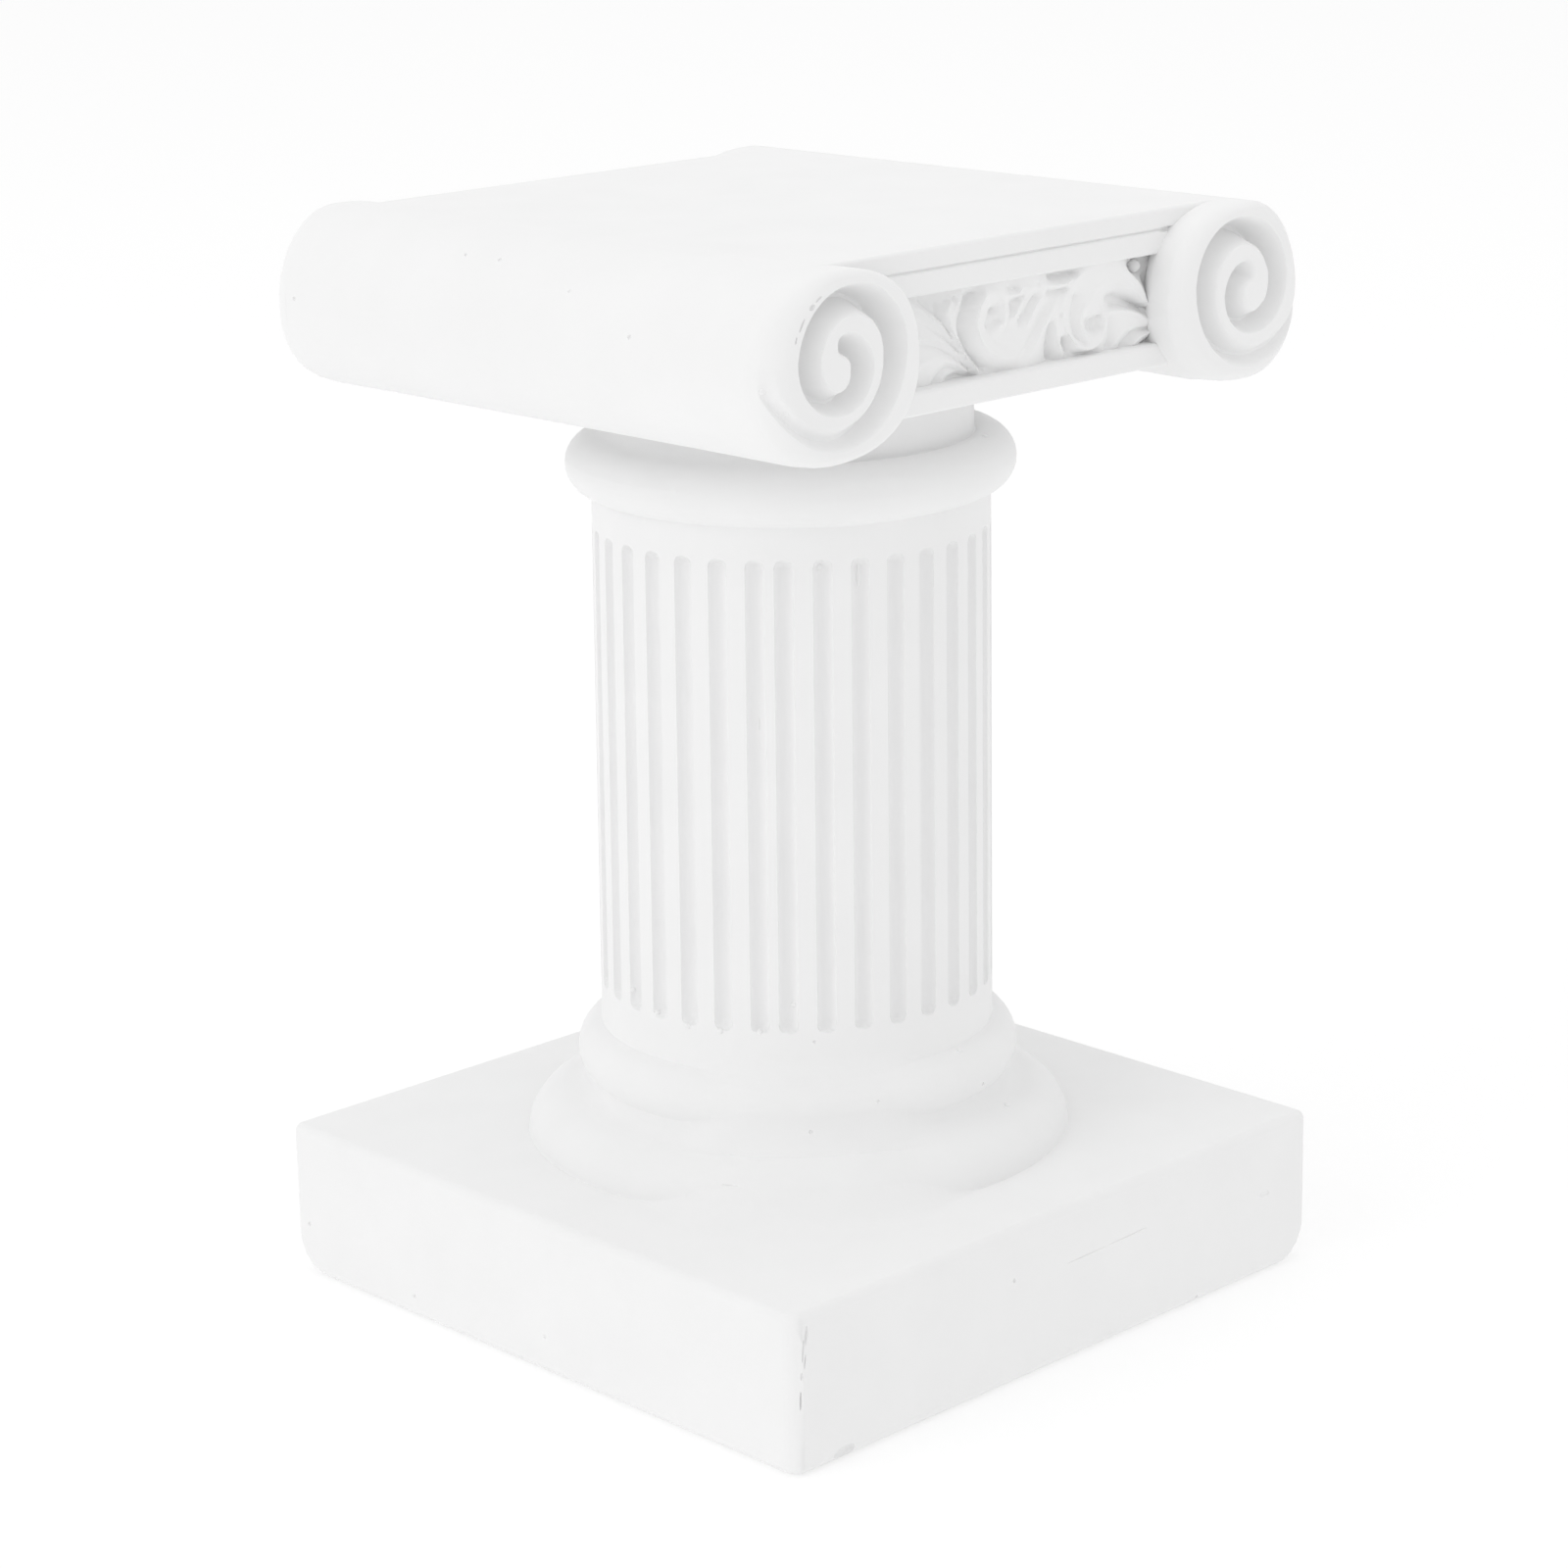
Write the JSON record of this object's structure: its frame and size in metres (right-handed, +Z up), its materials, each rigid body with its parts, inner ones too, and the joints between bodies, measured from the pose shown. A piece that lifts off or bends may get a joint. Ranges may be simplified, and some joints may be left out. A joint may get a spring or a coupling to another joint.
{
  "type": "roman column",
  "caption": "Small cast plaster column with a scrolled Ionic capital, a leaf frieze, a fluted shaft, round base mouldings and a square plinth, standing free.",
  "frame": {"origin": "middle of the plinth's underside, on the surface that the column stands on", "axes": "+Z up the shaft; -Y faces the carved front with the two volutes, which is repeated on +Y; the rolls of the capital run along Y at -X and +X"},
  "size_m": [0.1, 0.1, 0.1489],
  "materials": {
    "plaster": "matte white cast plaster, uncoated, with small air bubbles and rubbed edges"
  },
  "bodies": {
    "root": {"column": "plaster"}
  },
  "joints": []
}
